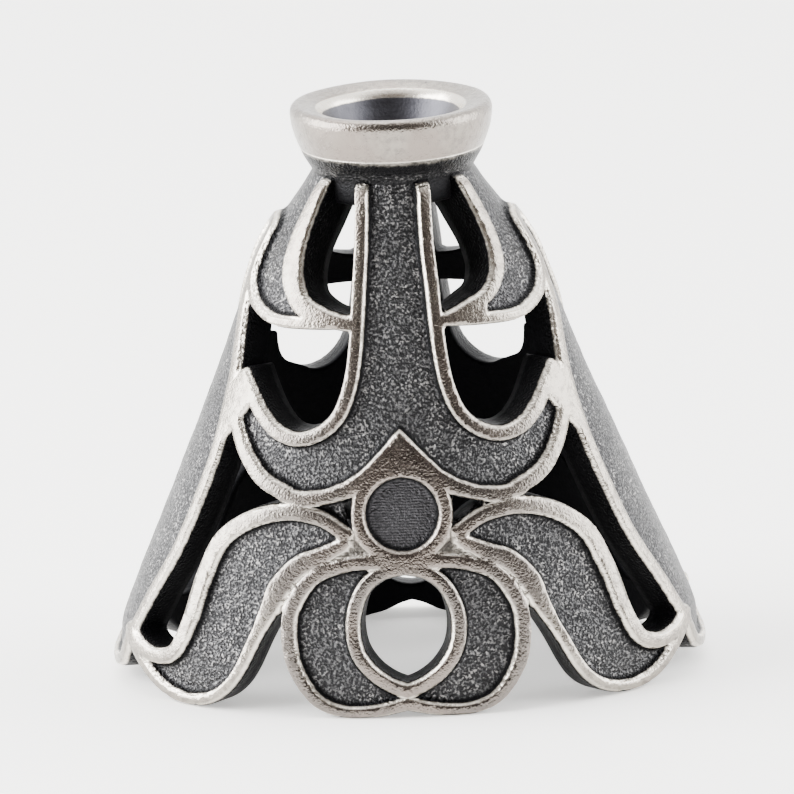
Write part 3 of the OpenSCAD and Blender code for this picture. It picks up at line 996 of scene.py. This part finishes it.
to_pit = node(tree, "ShaderNodeTexVoronoi", {"Vector": mm, "Scale": 1 / PIT_SPACING},
              out="Distance")
wavy = node(tree, MATH, {0: mottle, 1: LINE_WAVER, 2: z}, operation="MULTIPLY_ADD")
phase = node(tree, MATH, {0: wavy, 1: 2 * math.pi / DISC_LINE}, operation="MULTIPLY")
lines = node(tree, MATH, {0: phase}, operation="SINE")
print("silver follows its places and noises with", len(tree.nodes), "nodes")

# %% [markdown]
# ## Oxidised silver: masks
# A mask is a number from 0 to 1 that says where something happens, eased between two values of what
# it follows. Some are multiplied, so that a stain needs both a flat and its own patch.

# %% Masks
MASKS = {
    # name: what it follows, where it is 0 and where it is 1
    "polish": (ragged, 0.0, -0.05),
    # the foot: black oxide in the crease beside a border, darkened with painted shade
    "foot_oxide_and_shade": (ragged, 0.17, 0.03),
    "flat": (beside, -0.05, -0.15),
    "dull": (mottle, 0.4, 0.68),
    "middle": (across, 4.8, 0.8),
    "patchy": (patch, 0.32, 0.6),
    "worn": (grain, 0.42, 0.68),
    # specks of bare metal on the grain's high points, which also serve as painted glints
    "rubbed_glint": (clusters, 0.55, 0.66),
    "skin": (within, 0.35, 0.0),
    "disc": (from_boss, 1.16, 1.06),
    "ring": (from_boss, 2.2, 1.7),
    "around": (from_boss, 6.5, 3.0),
    "score": (lines, -1.0, 1.0),
    "above": (z, 17.1, 17.4),
    "low": (z, 6.2, 5.0),
    "inner": (across, 5.0, 3.9),
    "near_axis": (radius, 2.6, 2.4),
    "pit": (to_pit, PIT_RADIUS / PIT_SPACING, 0.6 * PIT_RADIUS / PIT_SPACING),
}
PRODUCTS = {
    # name: two masks multiplied, then scaled
    "worn_skin": ("worn", "skin", 1.0),
    "rubbed_glint_skin": ("rubbed_glint", "skin", 1.0),
    # painted glints on the rubbed specks, in patches
    "glint": ("rubbed_glint_skin", "patchy", 0.75),
    "bowl": ("above", "near_axis", 1.0),
    "brown": ("flat", "patchy", 1.0),
    # brown tarnish, together with a painted dark reflection on the flats near the middle
    "tarnish_and_dark_reflection": ("brown", "middle", 0.9),
    "stain": ("flat", "dull", 0.6),
    # this and the next: a painted dark reflection on the polished metal round the boss
    "grey": ("flat", "around", 0.7),
    "dark_reflection_round_boss": ("around", "around", 0.4),
    "band": ("flat", "above", 0.3),
    "petals": ("low", "inner", 1.0),
    # a painted dark reflection on the petals' flats
    "petal_flat_reflection": ("flat", "petals", 0.9),
    # the boss's ring: partly tarnish, partly a painted dark reflection
    "ring_brown": ("ring", "ring", 0.55),
    "lined": ("disc", "score", 1.0),
}
mask = {
    name: node(tree, RANGE, {"Value": follows, "From Min": none, "From Max": full},
               interpolation_type="SMOOTHSTEP")
    for name, (follows, none, full) in MASKS.items()
}
for name, (one, other, scale) in PRODUCTS.items():
    both = node(tree, MATH, {0: mask[one], 1: mask[other]}, operation="MULTIPLY")
    mask[name] = node(tree, MATH, {0: both, 1: scale}, operation="MULTIPLY")
mask["within"] = within
print("masks:", len(mask))

# %% [markdown]
# ## Oxidised silver: coats, roughness and bump
# The colour is built up like coats of paint, in two stacks. The ground starts dark and gets its
# rubbed grain with painted glints, the scored disc, the black foot with its painted shade and the
# grey bowl. The bright stack starts as polished silver and gets its flats painted greyer (partly
# wear, partly painted shade), stains and tarnish, and a painted dark reflection round the boss, on
# the petals and round the middle. Then the bright one is laid over the ground where the polish is,
# and the pits and the black inside come last. The bump is the grain, a broader mottle and the
# scored lines, much weaker where the metal is polished.

# %% Coats and shader
COATS = (
    # stack, what is laid over it, by which mask
    # the ground's rubbed specks include painted glints
    ("ground", OXIDE_WORN, "worn_skin"), ("ground", RUBBED_GLINT, "glint"),
    # the black foot's coat includes painted shade in the crease
    ("ground", SCORE_LOW, "disc"), ("ground", SCORE_HIGH, "lined"), ("ground", BLACK_OXIDE_AND_SHADE, "foot_oxide_and_shade"),
    ("ground", BOWL, "bowl"),
    # the flats' grey is partly painted shade; the greys round the boss and on the petals are a
    # painted dark reflection
    ("bright", WORN_AND_SHADED_FLAT, "flat"), ("bright", STAIN_AND_DARK_REFLECTION, "stain"), ("bright", STAIN_AND_DARK_REFLECTION, "grey"),
    ("bright", STAIN_AND_DARK_REFLECTION, "dark_reflection_round_boss"), ("bright", STAIN_AND_DARK_REFLECTION, "band"), ("bright", STAIN_AND_DARK_REFLECTION, "petal_flat_reflection"),
    ("bright", TARNISH_AND_DARK_REFLECTION, "ring_brown"), ("bright", TARNISH_AND_DARK_REFLECTION, "tarnish_and_dark_reflection"),
    ("ground", "bright", "polish"), ("ground", BLACK_OXIDE_AND_SHADE, "pit"), ("ground", INSIDE, "within"),
)
coats = {"ground": linear(OXIDE_DARK), "bright": linear(POLISHED)}
for under, over, where in COATS:
    upper = coats[over] if over in coats else linear(over)
    coats[under] = node(tree, MIX, {0: mask[where], 6: coats[under], 7: upper}, out=2,
                        data_type="RGBA")
rough = node(tree, RANGE, {"Value": mask["polish"], "To Min": OXIDE_ROUGHNESS,
                           "To Max": POLISHED_ROUGHNESS})
rough = node(tree, MATH, {0: mottle, 1: MOTTLE_ROUGHNESS, 2: rough}, operation="MULTIPLY_ADD")
rough = node(tree, MATH, {0: within, 1: INSIDE_ROUGHNESS, 2: rough}, operation="MULTIPLY_ADD")
smooth = node(tree, MATH, {0: within, 1: mask["bowl"]}, operation="MAXIMUM")
grainy = node(tree, RANGE, {"Value": smooth, "To Min": 1.0, "To Max": SMOOTH_GRAIN})
coarse = node(tree, RANGE, {"Value": mask["polish"], "To Min": 1.0, "To Max": POLISHED_GRAIN})
height = node(tree, MATH, {0: grainy, 1: coarse}, operation="MULTIPLY")
height = node(tree, MATH, {0: height, 1: grain}, operation="MULTIPLY")
height = node(tree, MATH, {0: mottle, 1: MOTTLE_HEIGHT, 2: height}, operation="MULTIPLY_ADD")
height = node(tree, MATH, {0: mask["lined"], 1: LINE_HEIGHT, 2: height}, operation="MULTIPLY_ADD")
bump = node(tree, "ShaderNodeBump", {
    "Height": height, "Strength": 1.0, "Distance": BUMP_DEPTH * MM})
shader = node(tree, "ShaderNodeBsdfPrincipled", {
    "Base Color": coats["ground"], "Roughness": rough, "Normal": bump, "Metallic": 1.0})
node(tree, "ShaderNodeOutputMaterial", {"Surface": shader})
for piece in (body, collar):
    piece.data.materials.append(silver)
print("silver:", len(tree.nodes), "nodes")

# %% [markdown]
# ## The floor
# The cap stands on a light table: a pale board that glows a little itself, so that the space under
# the cap and behind its openings stays light.

# %% A glowing board
FLOOR_RADIUS = 320.0
FLOOR_RINGS = 24
FLOOR_TURNS = 96
BOARD, BOARD_GLOW = "#f6f5f3", "#fffefb"
BOARD_ROUGHNESS, GLOW_STRENGTH = 0.8, 0.6


def floor_board():
    """A flat disc: x = r sin(turn), y = -r cos(turn), at the height where the cap stands."""
    turn = np.linspace(0, 2 * np.pi, FLOOR_TURNS, endpoint=False)[:, None]
    r = np.linspace(0.0, FLOOR_RADIUS, FLOOR_RINGS + 1)[None, 1:]
    ring = np.stack([r * np.sin(turn), -r * np.cos(turn), 0 * r * turn], -1).reshape(-1, 3)
    i, k = np.meshgrid(np.arange(FLOOR_TURNS), np.arange(FLOOR_RINGS - 1), indexing="ij")
    here, ahead = i * FLOOR_RINGS + k, ((i + 1) % FLOOR_TURNS) * FLOOR_RINGS + k
    faces = np.stack([here, here + 1, ahead + 1, ahead], -1).reshape(-1, 4)
    middle = len(ring)
    fan = np.arange(FLOOR_TURNS) * FLOOR_RINGS
    hub = np.stack([fan, np.roll(fan, -1), fan * 0 + middle], -1)
    faces = np.vstack([hub, faces[:, [0, 1, 2]], faces[:, [0, 2, 3]]])
    return np.vstack([ring, [[0, 0, 0]]]), faces


floor_points, floor_faces = floor_board()
floor = mesh_piece("floor_board", floor_points, floor_faces)
board, tree = new_material("glowing_white_board")
shader = node(tree, "ShaderNodeBsdfPrincipled", {
    "Base Color": linear(BOARD), "Roughness": BOARD_ROUGHNESS,
    "Emission Color": linear(BOARD_GLOW), "Emission Strength": GLOW_STRENGTH})
node(tree, "ShaderNodeOutputMaterial", {"Surface": shader})
floor.data.materials.append(board)
print("floor:", len(floor_faces), "triangles")

# %% [markdown]
# ## The room
# The room is white, but towards the camera it is kept dim and warm, with a darker spot where the
# lens would be, because polished metal only looks like metal when it has something darker to
# reflect.

# %% The room round the cap
ROOM, ROOM_FRONT, ROOM_LENS = "#ffffff", "#443f3c", "#221e1c"
ROOM_STRENGTH = 3.8
TOWARD_CAMERA = (0.019, -0.97, 0.242)
FRONT_EASE, LENS_EASE = (0.1, 0.8), (0.9, 0.98)

world = bpy.data.worlds.new("studio")
world.use_nodes = True
world.node_tree.nodes.clear()
tree = world.node_tree
direction = node(tree, "ShaderNodeTexCoord", out="Generated")
toward = node(tree, VECTOR, {0: direction, 1: TOWARD_CAMERA}, out="Value",
              operation="DOT_PRODUCT")
front, lens = (node(tree, RANGE, {"Value": toward, "From Min": low, "From Max": high},
                    interpolation_type="SMOOTHSTEP") for low, high in (FRONT_EASE, LENS_EASE))
colour = node(tree, MIX, {0: front, 6: linear(ROOM), 7: linear(ROOM_FRONT)}, out=2,
              data_type="RGBA")
colour = node(tree, MIX, {0: lens, 6: colour, 7: linear(ROOM_LENS)}, out=2, data_type="RGBA")
background = node(tree, "ShaderNodeBackground", {"Color": colour, "Strength": ROOM_STRENGTH})
node(tree, "ShaderNodeOutputWorld", {"Surface": background})
bpy.context.scene.world = world
print("room:", len(tree.nodes), "nodes")

# %% [markdown]
# ## The lights
# Two large soft boxes stand at the cap's sides, the left one stronger, and a weak one hangs above
# and behind it. They give the flanks of the cone their bright edges.

# %% Soft boxes
LIGHTS = {
    # name: place and size in millimetres, power in watts
    "softbox_left": ((-200, -20, 90), 200, 2.2),
    "softbox_right": ((200, 0, 80), 180, 0.8),
    "softbox_top": ((-20, 90, 210), 150, 0.3),
}
for name, (place, size, watts) in LIGHTS.items():
    light = bpy.data.lights.new(name, "AREA")
    light.energy, light.size = watts, size * MM
    lamp = bpy.data.objects.new(name, light)
    toward_cap = Vector((0, 0, AIM_HEIGHT)) - Vector(place)
    turn = toward_cap.to_track_quat("-Z", "Y").to_matrix().to_4x4()
    lamp.matrix_world = Matrix.Translation(Vector(place) * MM) @ turn
    bpy.context.scene.collection.objects.link(lamp)
print("lights:", list(LIGHTS))
